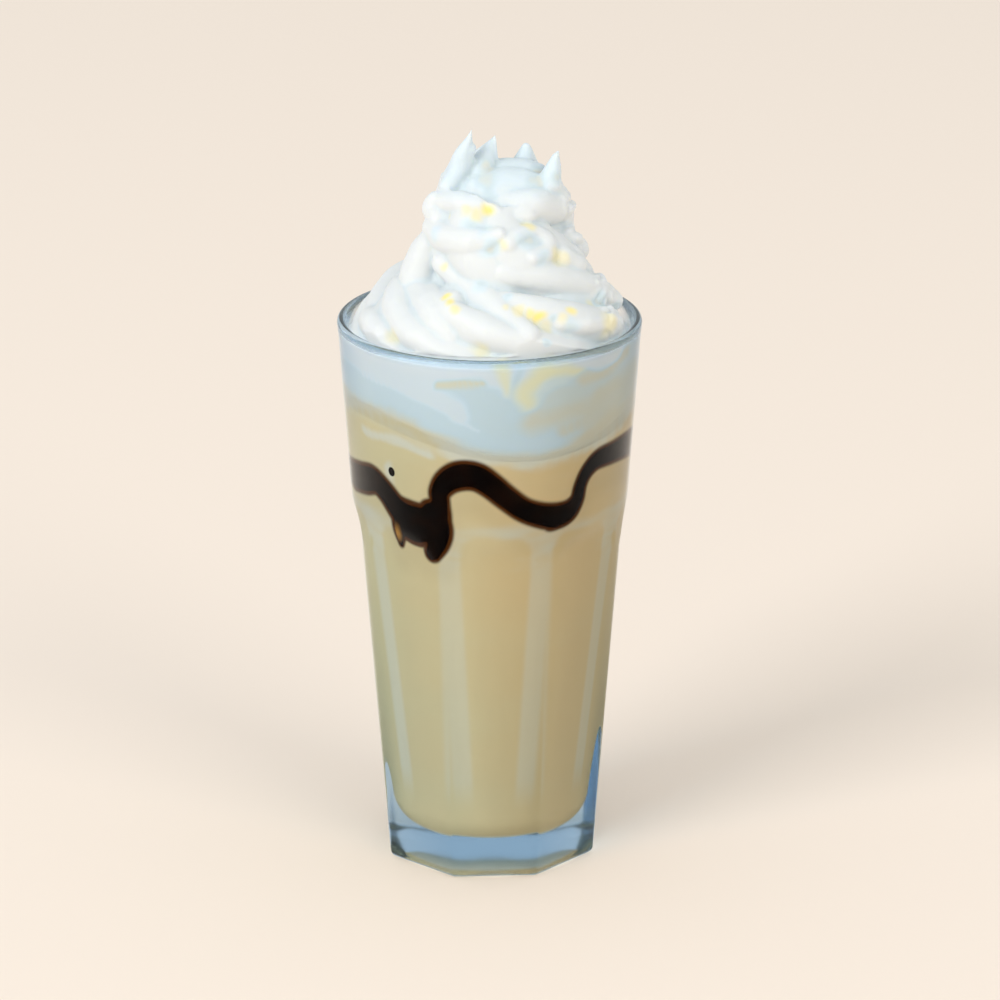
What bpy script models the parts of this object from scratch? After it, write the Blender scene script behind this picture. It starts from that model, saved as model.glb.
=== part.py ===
"""Iced coffee under a swirl of whipped cream, in a tall eight-sided tumbler of pressed glass.

Metres, +Z up. The origin is the middle of the glass's foot, on the surface that it stands on.
Azimuths are in degrees, from the front (-Y) towards +X.
"""

import math

import bmesh
import bpy
import numpy as np
from mathutils import Matrix, Vector

MM = 0.001
GAP = 0.3 * MM  # clearance between solids that touch

# Glass: a straight turned cone, with eight flat panels pressed into its lower two thirds.
GLASS_HEIGHT = 163 * MM
RIM_RADIUS = 44 * MM
RIM_WALL = 2.6 * MM
FOOT_RADIUS = 32.6 * MM
CAVITY_FLOOR = 9.5 * MM
CAVITY_FLOOR_RADIUS = 21.8 * MM
CAVITY_CORNER = 8 * MM
PANELS = 8
PANEL_TURN = 3  # degrees that the front panel is turned from -Y
PANEL_FOOT = 30.1 * MM  # panel's distance from the axis just above the foot's chamfer
PANEL_TOP = 38.0 * MM  # and where the shoulder starts
SHOULDER_LOW = 103.5 * MM
SHOULDER_RISE = 12 * MM
SHOULDER_RUN = 3.4 * MM
FOOT_CHAMFER = 2.2 * MM
TURNED_STEPS = 64

# Coffee: fills the cavity up to a wavy boundary with the cream.
BOUNDARY_MEAN = 139.1 * MM
BOUNDARY_WAVES = ((1.9 * MM, -132), (2.9 * MM, -132), (1.4 * MM, -152))  # size and phase of each harmonic
BOUNDARY_MIDDLE = 128 * MM  # the cream's underside bulges down into the drink

# Chocolate sauce: a band squeezed round the inside of the glass, 1.6 mm thick.
SAUCE_THICKNESS = 1.6 * MM
# Azimuth, height in mm and half width in mm along the band.
SAUCE_BAND = (
    (-81, 117.5, 4.6), (-68, 119, 4.6), (-59, 120.2, 4.3), (-52, 118, 4.1), (-45, 113.8, 4.5),
    (-38, 111, 6.2), (-31, 110.6, 6.3), (-24.8, 113, 4.8), (-22.4, 117.5, 3.1), (-22.2, 121.4, 3.1),
    (-18.5, 125, 3.7), (-12.6, 127.2, 4.3), (-6, 127.2, 4.2), (0, 124.8, 3.8), (7.6, 120.4, 3.5),
    (14.7, 116.7, 3.4), (22.5, 114.4, 3.6), (30.8, 113.2, 3.9), (37.4, 114, 3.5), (41.6, 117, 2.6),
    (43, 121.3, 2.3), (46, 125, 2.5), (52, 127.7, 3.0), (62, 128, 3.3), (76, 127.5, 3.8), (92, 125.5, 4.0),
    (107, 121, 3.6), (120, 115.5, 3.4), (134, 113, 3.9), (147, 115, 3.2), (156, 120.5, 2.6),
    (167, 125.5, 3.1), (181, 127.6, 3.9), (195, 125.5, 3.7), (207, 120, 3.4), (219, 115, 3.6),
    (233, 113, 4.1), (247, 115.5, 3.5), (260, 117.5, 3.9),
)
# Short runs of sauce that hang from the band, in the same terms.
SAUCE_RUNS = (
    ((-26, 114, 4.8), (-24.3, 110, 5.0), (-24.5, 106, 4.0), (-26.5, 101.9, 2.4)),
    ((-43, 109, 3.6), (-43.5, 105.5, 1.9), (-43, 102.2, 0.8)),
    ((29, 112, 3.0), (31, 111, 1.9)),
    ((134, 111, 3.2), (136, 104.5, 2.2)),
    ((232, 111, 3.4), (230, 106.5, 2.6), (231, 101.5, 2.0)),
)

# Whipped cream: one thick ribbed rope, coiled upwards and torn off in a crown of points.
CREAM_FOOT = (-1.5 * MM, -3.2 * MM)  # the coil's axis leans from here
CREAM_TIP = (3 * MM, -0.5 * MM)  # to here
ROPE_TURNS = 2.55
ROPE_END_AZIMUTH = 150
ROPE_RIBS = 6
RIB_DEPTH = 0.24  # of the rope's radius
RIB_TWIST = 2.6  # turns of the ribs round the rope, most of them near its start
# Share of the rope's length, radius of the coil, height of its middle and radius of the rope, in mm.
ROPE_STATIONS = (
    (0.00, 24.0, 155.0, 15.5),
    (0.10, 24.0, 157.5, 15.5),
    (0.19, 22.0, 159.0, 15.0),
    (0.30, 24.5, 163.5, 16.0),
    (0.48, 22.5, 161.5, 15.0),
    (0.58, 17.5, 167.0, 15.5),
    (0.70, 11.0, 178.0, 16.0),
    (0.84, 4.0, 188.5, 17.0),
    (0.93, 2.0, 195.5, 18.5),
    (1.00, 1.0, 201.5, 18.0),
)
# Height in mm of the point on each rib, and how far out it stands as a share of the rope's radius:
# left, front left, front right, right, back right, back left.
CROWN_POINTS = ((18, 0.4), (4, 0.85), (2.5, 0.85), (17, 0.78), (9, 0.72), (14, 0.4))
PLUG_TOP = 157 * MM  # the cream's level against the glass
PLUG_SLOPE = 0.07  # it's higher at the front
VOXEL = 1.1 * MM
CREAM_DETAIL = 0.09  # share of the fused swirl's faces that is kept


def clear_scene():
    for obj in list(bpy.data.objects):
        bpy.data.objects.remove(obj, do_unlink=True)


def collection_of(name):
    made = bpy.data.collections.new(name)
    bpy.context.scene.collection.children.link(made)
    return made


def material(name, colour, roughness, transmission=0.0):
    made = bpy.data.materials.new(name)
    made.use_nodes = True
    shader = made.node_tree.nodes["Principled BSDF"]
    shader.inputs["Base Color"].default_value = (*colour, 1)
    shader.inputs["Roughness"].default_value = roughness
    shader.inputs["Metallic"].default_value = 0
    shader.inputs["Transmission Weight"].default_value = transmission
    return made


def add_object(name, mesh, collection):
    obj = bpy.data.objects.new(name, mesh)
    collection.objects.link(obj)
    return obj


def as_helper(obj):
    obj.hide_render = True
    obj.display_type = "WIRE"
    return obj


def turned(name, profile, collection):
    """A profile of (radius, height) points turned round Z. It runs down its outer side."""
    mesh = bpy.data.meshes.new(name)
    mesh.from_pydata([(r, 0, z) for r, z in profile], [(i, i + 1) for i in range(len(profile) - 1)], [])
    obj = add_object(name, mesh, collection)
    screw = obj.modifiers.new("turn", "SCREW")
    screw.steps = screw.render_steps = TURNED_STEPS
    screw.use_merge_vertices = True
    screw.merge_threshold = 0.01 * MM
    screw.use_smooth_shade = True
    return obj


def skin(name, rings, collection):
    """A closed body lofted through rings of as many points each, with a flat face on each end."""
    count = len(rings[0])
    faces = [tuple(range(count))[::-1]]
    for k in range(len(rings) - 1):
        for i in range(count):
            j = (i + 1) % count
            faces.append((k * count + i, k * count + j, (k + 1) * count + j, (k + 1) * count + i))
    faces.append(tuple((len(rings) - 1) * count + i for i in range(count)))
    mesh = bpy.data.meshes.new(name)
    mesh.from_pydata([tuple(map(float, p)) for ring in rings for p in ring], [], faces)
    mesh.update()
    return add_object(name, mesh, collection)


def made_mesh(obj):
    """The object with its modifiers applied, and a curve turned into a closed mesh."""
    bpy.context.view_layer.update()
    graph = bpy.context.evaluated_depsgraph_get()
    mesh = bpy.data.meshes.new_from_object(obj.evaluated_get(graph))
    shape = bmesh.new()
    shape.from_mesh(mesh)
    bmesh.ops.remove_doubles(shape, verts=shape.verts, dist=0.001 * MM)
    bmesh.ops.recalc_face_normals(shape, faces=shape.faces)
    shape.to_mesh(mesh)
    shape.free()
    name, collection = obj.name, obj.users_collection[0]
    place = obj.matrix_world.copy()
    bpy.data.objects.remove(obj)
    made = add_object(name, mesh, collection)
    made.matrix_world = place
    return made


def boolean(obj, operation, other, solver="EXACT"):
    """Cuts, joins or intersects obj with an object or with all of a collection."""
    cut = obj.modifiers.new(operation.lower(), "BOOLEAN")
    cut.operation = operation
    cut.solver = solver
    if isinstance(other, bpy.types.Collection):
        cut.operand_type = "COLLECTION"
        cut.collection = other
    else:
        cut.object = other


def weld(solid, distance):
    """Merges the points of a solid that lie closer together than a distance."""
    merge = solid.modifiers.new("weld", "WELD")
    merge.merge_threshold = distance


def arc(centre, radius, start, end, points):
    """Points on an arc in the (radius, height) plane. Angles are in degrees, from outwards to up."""
    angles = np.radians(np.linspace(start, end, points))
    return [(centre[0] + radius * math.cos(a), centre[1] + radius * math.sin(a)) for a in angles]


def on_wall(azimuth, height, inset=0.0):
    """A point inside the cavity's wall, inset from it."""
    angle = math.radians(azimuth)
    radius = cavity_radius(height) - inset
    return Vector((radius * math.sin(angle), -radius * math.cos(angle), height))


# ---- the glass ----


def outer_radius(height):
    return FOOT_RADIUS + (RIM_RADIUS - FOOT_RADIUS) * height / GLASS_HEIGHT


def cavity_radius(height):
    """The straight part of the cavity, which a conical plunger pressed."""
    rim = RIM_RADIUS - RIM_WALL
    low = CAVITY_FLOOR + CAVITY_CORNER
    return CAVITY_FLOOR_RADIUS + (rim - CAVITY_FLOOR_RADIUS) * (height - low) / (GLASS_HEIGHT - low)


def cavity_profile(inset, top):
    """Half of the cavity's section, from the middle of its floor up its wall, inset all round."""
    corner = CAVITY_CORNER - inset
    middle = (CAVITY_FLOOR_RADIUS - CAVITY_CORNER, CAVITY_FLOOR + CAVITY_CORNER)
    floor = [(0, CAVITY_FLOOR + inset)]
    return floor + arc(middle, corner, -90, -4, 7) + [(cavity_radius(top) - inset, top)]


def panel_cutter(collection):
    """What one panel takes off: the foot's chamfer, the flat panel and the sloping shoulder above it."""
    reach = RIM_RADIUS + 12 * MM
    outline = [
        (PANEL_FOOT - 2 * FOOT_CHAMFER, -FOOT_CHAMFER),
        (PANEL_FOOT, FOOT_CHAMFER),
        (PANEL_TOP, SHOULDER_LOW),
        (PANEL_TOP + 0.12 * SHOULDER_RUN, SHOULDER_LOW + 0.25 * SHOULDER_RISE),
        (PANEL_TOP + SHOULDER_RUN, SHOULDER_LOW + SHOULDER_RISE),
        (reach, SHOULDER_LOW + 1.2 * SHOULDER_RISE),
        (reach, -FOOT_CHAMFER),
    ]
    curve = bpy.data.curves.new("panel_cutter", "CURVE")
    curve.dimensions = "2D"
    curve.fill_mode = "BOTH"
    curve.extrude = 25 * MM
    spline = curve.splines.new("POLY")
    spline.points.add(len(outline) - 1)
    for point, (r, z) in zip(spline.points, outline):
        point.co = (r, z, 0, 1)
    spline.use_cyclic_u = True
    flat = add_object("panel_cutter", curve, collection)
    flat.rotation_euler = (math.pi / 2, 0, 0)
    return made_mesh(flat)


def build_glass(collection, cutters):
    half_wall = RIM_WALL / 2
    rim_middle = (RIM_RADIUS - half_wall, GLASS_HEIGHT - half_wall)
    inside = cavity_profile(0, GLASS_HEIGHT - half_wall)[:-1]
    rim = arc(rim_middle, half_wall, 180, 0, 7)
    foot = [(outer_radius(FOOT_CHAMFER), FOOT_CHAMFER), (FOOT_RADIUS - FOOT_CHAMFER, 0), (0, 0)]
    glass = turned("glass", inside + rim + foot, collection)
    pressed = bpy.data.collections.new("panels")
    cutters.children.link(pressed)
    first = panel_cutter(pressed)
    for number in range(PANELS):
        cutter = first if number == 0 else add_object(f"panel_cutter_{number}", first.data, pressed)
        turn = math.radians(PANEL_TURN - 90 + number * 360 / PANELS)
        cutter.matrix_world = Matrix.Rotation(turn, 4, "Z") @ Matrix.Rotation(math.pi / 2, 4, "X")
        as_helper(cutter)
    boolean(glass, "DIFFERENCE", pressed)
    glass.data.materials.append(material("pressed_glass", (0.78, 0.88, 0.94), 0.02, transmission=1))
    return glass


# ---- the coffee and its boundary with the cream ----


def boundary_height(x, y):
    """The height at which coffee meets cream: a wavy line on the wall, and a bulge down in the middle."""
    azimuth = math.atan2(x, -y)
    wall = BOUNDARY_MEAN
    for harmonic, (size, crest) in enumerate(BOUNDARY_WAVES, 1):
        wall += size * math.cos(harmonic * (azimuth - math.radians(crest) / harmonic))
    share = min(1.0, math.hypot(x, y) / cavity_radius(BOUNDARY_MEAN)) ** 2
    return BOUNDARY_MIDDLE + (wall - BOUNDARY_MIDDLE) * share


def above_boundary(name, lift, collection):
    """A block whose underside is the boundary, raised by lift."""
    half_side = RIM_RADIUS + 4 * MM
    top = GLASS_HEIGHT + 80 * MM
    shape = bmesh.new()
    bmesh.ops.create_grid(shape, x_segments=22, y_segments=22, size=half_side)
    bmesh.ops.triangulate(shape, faces=shape.faces)
    for vert in shape.verts:
        vert.co.z = boundary_height(vert.co.x, vert.co.y) + lift
    made = bmesh.ops.extrude_face_region(shape, geom=list(shape.faces))
    for vert in (v for v in made["geom"] if isinstance(v, bmesh.types.BMVert)):
        vert.co.z = top
    bmesh.ops.recalc_face_normals(shape, faces=shape.faces)
    mesh = bpy.data.meshes.new(name)
    shape.to_mesh(mesh)
    shape.free()
    return as_helper(add_object(name, mesh, collection))


def build_coffee(collection, cutters, groove):
    top = BOUNDARY_MEAN + 12 * MM
    profile = cavity_profile(GAP, top) + [(0, top)]
    coffee = turned("coffee", profile[::-1], collection)
    boolean(coffee, "DIFFERENCE", above_boundary("coffee_top", -GAP / 2, cutters), "MANIFOLD")
    boolean(coffee, "DIFFERENCE", groove, "MANIFOLD")
    weld(coffee, 0.05 * MM)
    coffee.data.materials.append(material("milky_coffee", (0.62, 0.5, 0.31), 0.35))
    return coffee


# ---- the chocolate sauce ----


def stroke(name, stops, grow, cyclic, collection):
    """Sauce as it leaves the bottle: a round string of changing width, laid along the glass."""
    curve = bpy.data.curves.new(name, "CURVE")
    curve.dimensions = "3D"
    curve.bevel_depth = 1
    curve.bevel_resolution = 1
    curve.resolution_u = 2
    curve.use_fill_caps = True
    spline = curve.splines.new("BEZIER")
    spline.bezier_points.add(len(stops) - 1)
    for point, (azimuth, height, half_width) in zip(spline.bezier_points, stops):
        point.co = on_wall(azimuth, height * MM, inset=GAP + SAUCE_THICKNESS / 2)
        point.radius = half_width * MM + grow
        point.handle_left_type = point.handle_right_type = "AUTO"
    spline.use_cyclic_u = cyclic
    return made_mesh(add_object(name, curve, collection))


def wall_layer(name, inset, thickness, collection):
    """A thin ring of the space just inside the wall, where the sauce lies."""
    low, high = 92 * MM, 138 * MM
    outer = [(cavity_radius(z) - inset, z) for z in (high, low)]
    inner = [(r - thickness, z) for r, z in outer[::-1]]
    return turned(name, outer + inner + outer[:1], collection)


def sauce_shape(name, grow, collection, cutters):
    """The band and its runs, fused and flattened against the glass. grow widens it all round."""
    runs = bpy.data.collections.new(f"{name}_runs")
    cutters.children.link(runs)
    for number, stops in enumerate(SAUCE_RUNS):
        as_helper(stroke(f"{name}_run_{number}", stops, grow, False, runs))
    layer = made_mesh(wall_layer(f"{name}_layer", GAP - grow, SAUCE_THICKNESS + 2 * grow, cutters))
    band = stroke(name, SAUCE_BAND, grow, True, collection)
    boolean(band, "UNION", runs, "MANIFOLD")
    boolean(band, "INTERSECT", as_helper(layer), "MANIFOLD")
    return band


def build_sauce(collection, cutters):
    sauce = sauce_shape("chocolate_sauce", 0, collection, cutters)
    weld(sauce, 0.004 * MM)
    sauce.data.materials.append(material("chocolate_sauce", (0.012, 0.004, 0.002), 0.2))
    return sauce


# ---- the whipped cream ----


def rope_path(count):
    """Middles and radii of the rope at even shares of its length."""
    shares, coil, height, radius = np.array(ROPE_STATIONS).T
    t = np.linspace(0, 1, count)
    kernel = np.hanning(count // 8 * 2 + 1)
    kernel /= kernel.sum()

    def smooth(values):
        line = np.interp(t, shares, values)
        padded = np.pad(line, len(kernel) // 2, mode="reflect", reflect_type="odd")
        return np.convolve(padded, kernel, mode="valid")

    coil, height, radius = (smooth(v) * MM for v in (coil, height, radius))
    angle = math.radians(ROPE_END_AZIMUTH) + 2 * math.pi * ROPE_TURNS * (1 - t)
    x = np.interp(t, (0, 1), (CREAM_FOOT[0], CREAM_TIP[0])) + coil * np.sin(angle)
    y = np.interp(t, (0, 1), (CREAM_FOOT[1], CREAM_TIP[1])) - coil * np.cos(angle)
    return np.stack([x, y, height], 1), radius


def rope_frames(path):
    """Two directions across the rope at each point, carried along it without turning about it."""
    along = np.gradient(path, axis=0)
    along /= np.linalg.norm(along, axis=1)[:, None]
    side = np.cross(along[-1], (0.0, 1.0, 0.0))
    sides = [side / np.linalg.norm(side)]
    for direction in along[-2::-1]:
        side = sides[-1] - direction * np.dot(sides[-1], direction)
        sides.append(side / np.linalg.norm(side))
    sides = np.array(sides[::-1])
    return along, sides, np.cross(along, sides)


def rope_rings(count, points):
    """The rope's sections: a star of rounded ribs, which ends in a crown with a point on each rib."""
    path, radius = rope_path(count)
    along, side, other = rope_frames(path)
    around = np.linspace(0, 2 * math.pi, points, endpoint=False)
    rib = np.abs(np.cos(ROPE_RIBS * around / 2))
    rings = []
    for k in range(count):
        twist = -2 * math.pi * RIB_TWIST * (1 - k / (count - 1)) ** 1.5
        reach = radius[k] * (1 - RIB_DEPTH + RIB_DEPTH * rib)
        a = around + twist
        rings.append(path[k] + np.outer(reach * np.cos(a), side[k]) + np.outer(reach * np.sin(a), other[k]))
    number = np.round(ROPE_RIBS * around / (2 * math.pi)).astype(int) % ROPE_RIBS
    rise, lean = np.array(CROWN_POINTS)[number].T
    lean = 0.85 + (lean - 0.85) * rib**2
    end, out = path[-1], rings[-1] - path[-1]
    for share, lift in ((0.45, 0.5), (1.0, 1.0), (1.35, 0.4)):
        reach = 1 + (lean - 1) * share
        rings.append(end + out * reach[:, None] + np.outer(lift * rise * MM * rib**3, along[-1]))
    rings.append(end + out * 0.2 - 2 * MM * along[-1])
    return rings


def build_cream(collection, cutters):
    plug = [(0, PLUG_TOP), (RIM_RADIUS, PLUG_TOP - 2 * MM), (RIM_RADIUS, 120 * MM), (0, 120 * MM)]
    swirl = made_mesh(skin("swirl", rope_rings(150, 48), cutters))
    bed = made_mesh(turned("bed", plug, cutters))
    for vert in bed.data.vertices:
        vert.co.z -= PLUG_SLOPE * vert.co.y
    fused = bmesh.new()
    fused.from_mesh(swirl.data)
    fused.from_mesh(bed.data)
    mesh = bpy.data.meshes.new("whipped_cream")
    fused.to_mesh(mesh)
    fused.free()
    for helper in (swirl, bed):
        bpy.data.objects.remove(helper)
    cream = add_object("whipped_cream", mesh, collection)
    remesh = cream.modifiers.new("fuse", "REMESH")
    remesh.mode = "VOXEL"
    remesh.voxel_size = VOXEL
    settle = cream.modifiers.new("settle", "SMOOTH")
    settle.factor = 0.5
    settle.iterations = 2
    reduce = cream.modifiers.new("reduce", "DECIMATE")
    reduce.ratio = CREAM_DETAIL
    room = cavity_profile(GAP, GLASS_HEIGHT + 1 * MM)[1:]
    wide, high = RIM_RADIUS + 6 * MM, GLASS_HEIGHT + 90 * MM
    outline = [(0, high), (wide, high), (wide, GLASS_HEIGHT + 1 * MM)] + room[::-1] + [(0, CAVITY_FLOOR)]
    boolean(cream, "INTERSECT", as_helper(made_mesh(turned("cream_room", outline, cutters))))
    boolean(cream, "INTERSECT", above_boundary("cream_underside", GAP / 2, cutters))
    cream.data.materials.append(material("whipped_cream", (0.93, 0.95, 0.95), 0.5))
    return cream


def main():
    clear_scene()
    part = collection_of("iced_coffee")
    cutters = collection_of("cutters")
    build_glass(part, cutters)
    groove = as_helper(sauce_shape("sauce_groove", GAP, cutters, cutters))
    build_coffee(part, cutters, groove)
    build_sauce(part, cutters)
    build_cream(part, cutters)


main()
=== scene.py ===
"""Iced coffee under a swirl of whipped cream, in a tall eight-sided tumbler of pressed glass."""

import math

import bpy
import numpy as np
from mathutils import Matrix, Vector, noise


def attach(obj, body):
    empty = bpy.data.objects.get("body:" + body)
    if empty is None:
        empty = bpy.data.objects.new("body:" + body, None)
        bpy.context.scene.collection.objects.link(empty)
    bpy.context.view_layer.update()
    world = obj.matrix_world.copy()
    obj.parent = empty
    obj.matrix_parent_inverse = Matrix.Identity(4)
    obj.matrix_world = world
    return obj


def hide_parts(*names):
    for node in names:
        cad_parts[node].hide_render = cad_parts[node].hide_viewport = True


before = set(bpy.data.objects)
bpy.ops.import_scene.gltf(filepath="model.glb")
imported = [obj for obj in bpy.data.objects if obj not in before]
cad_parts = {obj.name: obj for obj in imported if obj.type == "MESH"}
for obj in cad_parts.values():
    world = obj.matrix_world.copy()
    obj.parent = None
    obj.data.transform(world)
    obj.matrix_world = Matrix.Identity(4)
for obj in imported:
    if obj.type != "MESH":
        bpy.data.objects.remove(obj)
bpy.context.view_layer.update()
MM = 0.001


# ---- Camera ----
# A long lens a little above the rim, which looks down on the drink by 19 degrees.

camera_data = bpy.data.cameras.new("camera")
camera_data.lens = 196
camera_data.sensor_width = 36
camera_data.clip_start = 0.1
camera_data.clip_end = 20
camera = bpy.data.objects.new("camera", camera_data)
camera.location = (0.003, -1.5, 0.628)
camera.rotation_euler = (math.radians(90 - 19.16), 0, 0)
bpy.context.scene.collection.objects.link(camera)
bpy.context.scene.camera = camera


# ---- Tumbler ----
# A thick cooler glass of clear soda-lime. A gob of molten glass is pressed between a mould with eight flat
# panels and a conical plunger, and the rim is then fire-polished to a round lip.

GLASS_HEIGHT = 163 * MM
RIM_RADIUS = 44 * MM
RIM_WALL = 2.6 * MM
FOOT_RADIUS = 32.6 * MM  # of the turned cone that the panels cut into
CAVITY_FLOOR = 9.5 * MM
CAVITY_FLOOR_RADIUS = 21.8 * MM
CAVITY_CORNER = 8 * MM
CAVITY_WALL_FROM = 20 * MM  # where its straight side starts, above the corner
PANEL_ANGLE = 2 * math.pi / 8
PANEL_TURN = math.radians(3)
PANEL_FOOT = 30.1 * MM  # the panel's distance from the axis at the foot
PANEL_TOP = 38.0 * MM  # and at the shoulder
SHOULDER_LOW = 102.5 * MM
SHOULDER_RISE = 12 * MM
SHOULDER_RUN = 3.8 * MM
ARCH_HALF_WIDTH = 12.5 * MM
ARCH_CORNER = 6 * MM
EDGE_ROUND = 0.55 * MM  # how far fire-polishing rounds each pressed edge
HEEL = 2.2 * MM
# The shallow recess under the foot: shares of the foot's radius, and how far up it lies there in mm.
FOOT_RECESS = ((0.985, 0), (0.95, 0.2), (0.91, 0.7), (0.87, 1.2), (0.82, 1.55), (0.5, 1.9), (0.1, 2.0))
GLASS_TINT = "#76BFE2"  # what iron in the melt leaves of white light after a few centimetres
TINT_DENSITY = 20
EDGE_BLUE = "#B0CCE2"  # where it's seen edge on, and at the lip
LIP_BLUE = 0.6  # the lip's share of it
SIDE_BLUE_LOW = 0.2  # and the sides' share below the cream
GLOSS = 0.035
FOOT_WAVY = 0.14  # roughness that the mould left in the thick foot
LIP_WAVY = 0.09  # and what the flame added at the lip
AROUND = 480  # points in each ring


def cavity_radius(height):
    rim = RIM_RADIUS - RIM_WALL
    low = CAVITY_FLOOR + CAVITY_CORNER
    return CAVITY_FLOOR_RADIUS + (rim - CAVITY_FLOOR_RADIUS) * (height - low) / (GLASS_HEIGHT - low)


def smooth_step(value):
    value = np.clip(value, 0, 1)
    return value * value * (3 - 2 * value)


def pressed_radius(azimuth, height):
    """The outer wall: the lower of the turned cone and the panels, with the edge between them rounded."""
    cone = FOOT_RADIUS + (RIM_RADIUS - FOOT_RADIUS) * height / GLASS_HEIGHT
    local = (azimuth - PANEL_TURN + PANEL_ANGLE / 2) % PANEL_ANGLE - PANEL_ANGLE / 2
    flat = PANEL_FOOT + (PANEL_TOP - PANEL_FOOT) * (height - HEEL) / (SHOULDER_LOW - HEEL)
    beside = np.clip((np.abs(flat * np.tan(local)) - ARCH_HALF_WIDTH + ARCH_CORNER) / ARCH_CORNER, 0, 1)
    shoulder = SHOULDER_LOW - ARCH_CORNER * (1 - np.sqrt(1 - beside**2))
    flat = flat + SHOULDER_RUN * smooth_step((height - shoulder) / SHOULDER_RISE)
    panel = flat / np.cos(local)
    return -EDGE_ROUND * np.logaddexp(-cone / EDGE_ROUND, -panel / EDGE_ROUND)


def place(azimuth, radius, height):
    """Points at azimuths from the front (-Y) towards +X."""
    radius, height = np.broadcast_to(radius, azimuth.shape), np.broadcast_to(height, azimuth.shape)
    return np.stack([radius * np.sin(azimuth), -radius * np.cos(azimuth), height], -1)


def skin(name, rings):
    """A smooth closed mesh lofted through rings of as many points each, with a point in the middle of each end."""
    count, around = len(rings), len(rings[0])
    points = np.concatenate([*rings, [rings[0].mean(0)], [rings[-1].mean(0)]])
    k, i = np.meshgrid(np.arange(count - 1), np.arange(around), indexing="ij")
    j = (i + 1) % around
    quads = np.stack([k * around + i, k * around + j, (k + 1) * around + j, (k + 1) * around + i], -1)
    faces = quads.reshape(-1, 4).tolist()
    first, last = count * around, (count - 1) * around
    faces += [(first, (n + 1) % around, n) for n in range(around)]
    faces += [(first + 1, last + n, last + (n + 1) % around) for n in range(around)]
    mesh = bpy.data.meshes.new(name)
    mesh.from_pydata(points.tolist(), [], faces)
    mesh.shade_smooth()
    made = bpy.data.objects.new(name, mesh)
    bpy.context.scene.collection.objects.link(made)
    return made


def arc(middle, radius, start, end, count):
    """(radius, height) points on an arc, with angles in degrees from outwards to up."""
    angles = np.radians(np.linspace(start, end, count))
    return [(middle[0] + radius * math.cos(a), middle[1] + radius * math.sin(a)) for a in angles]


def cavity_floor():
    """The cavity's floor and corner, from near the middle outwards."""
    middle = (CAVITY_FLOOR_RADIUS - CAVITY_CORNER, CAVITY_FLOOR + CAVITY_CORNER)
    flat = [(r * MM, CAVITY_FLOOR) for r in (1, 4, 8, 12)]
    return flat + arc(middle, CAVITY_CORNER, -90, -5, 20)


def linear(colour):
    """sRGB hex to linear, with alpha."""
    parts = [int(colour[n : n + 2], 16) / 255 for n in (1, 3, 5)]
    return (*[c / 12.92 if c <= 0.04045 else ((c + 0.055) / 1.055) ** 2.4 for c in parts], 1)


def new_material(name):
    made = bpy.data.materials.new(name)
    made.use_nodes = True
    return made, made.node_tree, made.node_tree.nodes["Principled BSDF"]


def node(tree, kind, settings=None, **inputs):
    """Adds a node. An input's value is a number or colour, or the output socket that feeds it."""
    made = tree.nodes.new(kind)
    for key, value in (settings or {}).items():
        setattr(made, key, value)
    for key, value in inputs.items():
        socket = made.inputs[int(key[1:]) if key[0] == "_" else key.replace("_", " ")]
        if isinstance(value, bpy.types.NodeSocket):
            tree.links.new(value, socket)
        else:
            socket.default_value = value
    return made


azimuths = np.linspace(0, 2 * math.pi, AROUND, endpoint=False)
rings = [place(azimuths, r, z) for r, z in cavity_floor()]
inside_top = GLASS_HEIGHT - RIM_WALL / 2
rings += [place(azimuths, cavity_radius(z), z) for z in np.linspace(CAVITY_WALL_FROM, inside_top, 40)]
lip = arc((RIM_RADIUS - RIM_WALL / 2, inside_top), RIM_WALL / 2, 180, 0, 13)[1:]
rings += [place(azimuths, r, z) for r, z in lip]
# Heights in mm down the outer wall, closest together at the shoulder and the heel.
steps_down = (np.arange(158, 117, -4), np.arange(116, 92, -0.5), np.arange(92, 4, -4), np.arange(3, 0, -0.25), [0])
for height in np.concatenate(steps_down) * MM:
    heel = HEEL * (1 - math.sqrt(1 - max(0, 1 - height / HEEL) ** 2))
    rings.append(place(azimuths, pressed_radius(azimuths, max(height, HEEL)) - heel, height))
foot_edge = rings[-1]
for share, recess in FOOT_RECESS:
    rings.append(foot_edge * (share, share, 0) + (0, 0, recess * MM))
tumbler = skin("tumbler", rings[::-1])

# Soda-lime glass: clear, with a hard clean gloss, and blue where light runs a long way through it, as in the
# foot. At the lip and along the sides seen edge on, that blue is topped with a painted pale-blue sheen, which
# also makes the glass there partly diffuse. The foot and the lip are a little wavy, so the lines that show in
# them are soft.
soda_lime, tree, shader = new_material("soda_lime_glass")
shader.inputs["IOR"].default_value = 1.5
shader.inputs["Specular Tint"].default_value = (0.04, 0.055, 0.08, 1)
where = node(tree, "ShaderNodeTexCoord").outputs["Object"]
above = node(tree, "ShaderNodeSeparateXYZ", Vector=where).outputs["Z"]
edge_on = node(tree, "ShaderNodeLayerWeight", Blend=0.5).outputs["Facing"]
smooth = {"interpolation_type": "SMOOTHSTEP"}
# Painted sheen: seen edge on, and at the lip, the glass is painted pale blue and made partly diffuse.
long_way_and_sheen = node(tree, "ShaderNodeMapRange", smooth, Value=edge_on, _1=0.46, _2=0.8)
upper = node(tree, "ShaderNodeMapRange", Value=above, _1=128 * MM, _2=152 * MM, _3=SIDE_BLUE_LOW, _4=1.0)
side_blue = node(tree, "ShaderNodeMath", {"operation": "MULTIPLY"}, _0=long_way_and_sheen.outputs[0], _1=upper.outputs[0])
lip_blue = node(tree, "ShaderNodeMapRange", Value=above, _1=159.5 * MM, _2=161.5 * MM, _4=LIP_BLUE)
blue = node(tree, "ShaderNodeMath", {"operation": "MAXIMUM"}, _0=side_blue.outputs[0], _1=lip_blue.outputs[0])
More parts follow.
